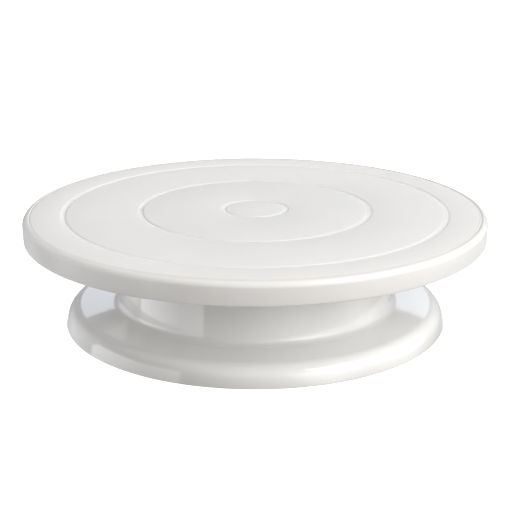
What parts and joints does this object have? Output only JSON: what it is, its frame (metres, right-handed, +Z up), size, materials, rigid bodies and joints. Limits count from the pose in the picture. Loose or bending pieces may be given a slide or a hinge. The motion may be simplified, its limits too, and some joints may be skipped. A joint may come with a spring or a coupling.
{
  "type": "cake turntable",
  "caption": "Round turntable for decorating cakes: a plate with ring grooves and a rounded rim spins on a ball race over a wide hollow base with rubber feet.",
  "frame": {"origin": "on the floor, on the axis that the plate spins about", "axes": "+Z up along the spin axis; the object is round, and +X points at the first of its six feet"},
  "size_m": [0.2798, 0.2798, 0.0695],
  "materials": {
    "plate_plastic": "fine satin moulded surface, warm white",
    "base_plastic": "glossy moulded surface, warm white",
    "acetal": "turned natural acetal, waxy",
    "race_steel": "pressed zinc-plated sheet, polished in the ball groove",
    "ball_steel": "polished bearing steel",
    "plated_steel": "bright zinc plating",
    "spindle_steel": "turned, with fine rings",
    "foot_rubber": "matte grey rubber"
  },
  "bodies": {
    "base": {"base_shell": "base_plastic", "hub_bush_upper": "acetal", "hub_bush_lower": "acetal", "hub_cap": "base_plastic", "lower_race": "race_steel", "lower_race_screws": "plated_steel", "foot_1": "foot_rubber", "foot_2": "foot_rubber", "foot_3": "foot_rubber", "foot_4": "foot_rubber", "foot_5": "foot_rubber", "foot_6": "foot_rubber"},
    "plate": {"turntable_plate": "plate_plastic", "spindle": "spindle_steel", "upper_race": "race_steel", "upper_race_screws": "plated_steel", "thrust_washer": "acetal", "clamp_washer": "plated_steel", "spindle_screw": "plated_steel"},
    "cage": {"ball_cage": "acetal"},
    "ball_01": {"ball_01": "ball_steel"},
    "ball_02": {"ball_02": "ball_steel"},
    "ball_03": {"ball_03": "ball_steel"},
    "ball_04": {"ball_04": "ball_steel"},
    "ball_05": {"ball_05": "ball_steel"},
    "ball_06": {"ball_06": "ball_steel"},
    "ball_07": {"ball_07": "ball_steel"},
    "ball_08": {"ball_08": "ball_steel"},
    "ball_09": {"ball_09": "ball_steel"},
    "ball_10": {"ball_10": "ball_steel"},
    "ball_11": {"ball_11": "ball_steel"},
    "ball_12": {"ball_12": "ball_steel"}
  },
  "joints": [
    {"name": "plate_spin", "type": "hinge", "parent": "base", "child": "plate", "pos_m": [0, 0, 0.0588], "axis": [0, 0, 1], "continuous": true},
    {"name": "cage_spin", "type": "hinge", "parent": "base", "child": "cage", "pos_m": [0, 0, 0.0588], "axis": [0, 0, 1], "continuous": true},
    {"name": "ball_01_roll", "type": "hinge", "parent": "cage", "child": "ball_01", "pos_m": [0.06, 0, 0.0588], "axis": [1, 0, 0], "continuous": true},
    {"name": "ball_02_roll", "type": "hinge", "parent": "cage", "child": "ball_02", "pos_m": [0.05196, 0.03, 0.0588], "axis": [0.866, 0.5, 0], "continuous": true},
    {"name": "ball_03_roll", "type": "hinge", "parent": "cage", "child": "ball_03", "pos_m": [0.03, 0.05196, 0.0588], "axis": [0.5, 0.866, 0], "continuous": true},
    {"name": "ball_04_roll", "type": "hinge", "parent": "cage", "child": "ball_04", "pos_m": [0, 0.06, 0.0588], "axis": [0, 1, 0], "continuous": true},
    {"name": "ball_05_roll", "type": "hinge", "parent": "cage", "child": "ball_05", "pos_m": [-0.03, 0.05196, 0.0588], "axis": [-0.5, 0.866, 0], "continuous": true},
    {"name": "ball_06_roll", "type": "hinge", "parent": "cage", "child": "ball_06", "pos_m": [-0.05196, 0.03, 0.0588], "axis": [-0.866, 0.5, 0], "continuous": true},
    {"name": "ball_07_roll", "type": "hinge", "parent": "cage", "child": "ball_07", "pos_m": [-0.06, 0, 0.0588], "axis": [-1, 0, 0], "continuous": true},
    {"name": "ball_08_roll", "type": "hinge", "parent": "cage", "child": "ball_08", "pos_m": [-0.05196, -0.03, 0.0588], "axis": [-0.866, -0.5, 0], "continuous": true},
    {"name": "ball_09_roll", "type": "hinge", "parent": "cage", "child": "ball_09", "pos_m": [-0.03, -0.05196, 0.0588], "axis": [-0.5, -0.866, 0], "continuous": true},
    {"name": "ball_10_roll", "type": "hinge", "parent": "cage", "child": "ball_10", "pos_m": [0, -0.06, 0.0588], "axis": [0, -1, 0], "continuous": true},
    {"name": "ball_11_roll", "type": "hinge", "parent": "cage", "child": "ball_11", "pos_m": [0.03, -0.05196, 0.0588], "axis": [0.5, -0.866, 0], "continuous": true},
    {"name": "ball_12_roll", "type": "hinge", "parent": "cage", "child": "ball_12", "pos_m": [0.05196, -0.03, 0.0588], "axis": [0.866, -0.5, 0], "continuous": true}
  ],
  "couplings": [
    {"joint": "cage_spin", "follows": "plate_spin", "ratio": 0.5},
    {"joint": "ball_01_roll", "follows": "plate_spin", "ratio": -12},
    {"joint": "ball_02_roll", "follows": "plate_spin", "ratio": -12},
    {"joint": "ball_03_roll", "follows": "plate_spin", "ratio": -12},
    {"joint": "ball_04_roll", "follows": "plate_spin", "ratio": -12},
    {"joint": "ball_05_roll", "follows": "plate_spin", "ratio": -12},
    {"joint": "ball_06_roll", "follows": "plate_spin", "ratio": -12},
    {"joint": "ball_07_roll", "follows": "plate_spin", "ratio": -12},
    {"joint": "ball_08_roll", "follows": "plate_spin", "ratio": -12},
    {"joint": "ball_09_roll", "follows": "plate_spin", "ratio": -12},
    {"joint": "ball_10_roll", "follows": "plate_spin", "ratio": -12},
    {"joint": "ball_11_roll", "follows": "plate_spin", "ratio": -12},
    {"joint": "ball_12_roll", "follows": "plate_spin", "ratio": -12}
  ]
}
